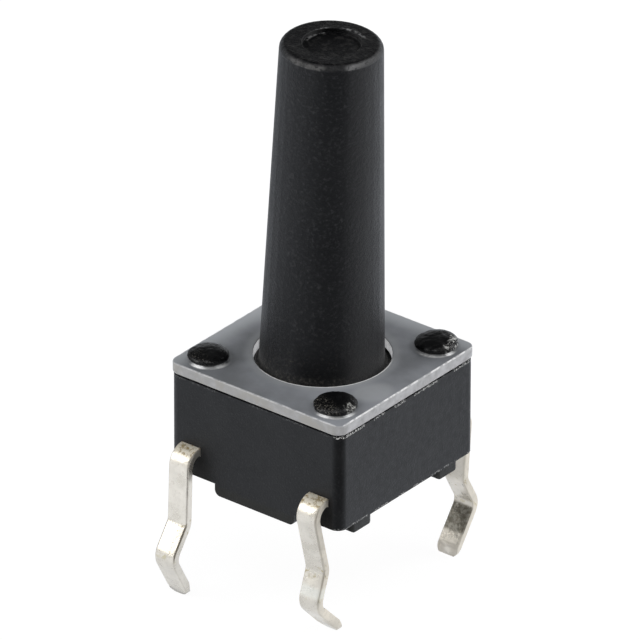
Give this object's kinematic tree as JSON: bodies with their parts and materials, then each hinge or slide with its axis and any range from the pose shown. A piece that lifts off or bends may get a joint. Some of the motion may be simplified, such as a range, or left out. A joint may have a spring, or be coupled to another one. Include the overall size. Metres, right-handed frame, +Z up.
{
  "type": "tactile push button switch",
  "caption": "Square through-hole tactile switch with a black base, a frosted cover held by melted posts, a long tapered round stem and kinked tinned legs.",
  "frame": {"origin": "middle of the four legs on the face of the circuit board, where the base's ledges rest", "axes": "+Z up the stem, away from the board; the legs leave the base through its -Y and +Y faces; +X is level, across the faces without legs"},
  "size_m": [0.006, 0.008, 0.0166],
  "materials": {
    "base_plastic": "matt, fine grain",
    "stem_plastic": "matt, fine grain",
    "cover_plastic": "frosted, translucent",
    "dome_steel": "satin",
    "tinned_brass": "bright tin, slightly mottled"
  },
  "bodies": {
    "housing": {"base": "base_plastic", "cover": "cover_plastic", "contact_dome": "dome_steel", "centre_terminal": "tinned_brass", "outer_terminal": "tinned_brass"},
    "plunger": {"plunger": "stem_plastic"}
  },
  "joints": [
    {"name": "plunger_press", "type": "slide", "parent": "housing", "child": "plunger", "axis": [0, 0, -1], "range_m": [0, 0.00025], "stiffness_N_per_m": 6000, "deforming": ["contact_dome"]}
  ]
}
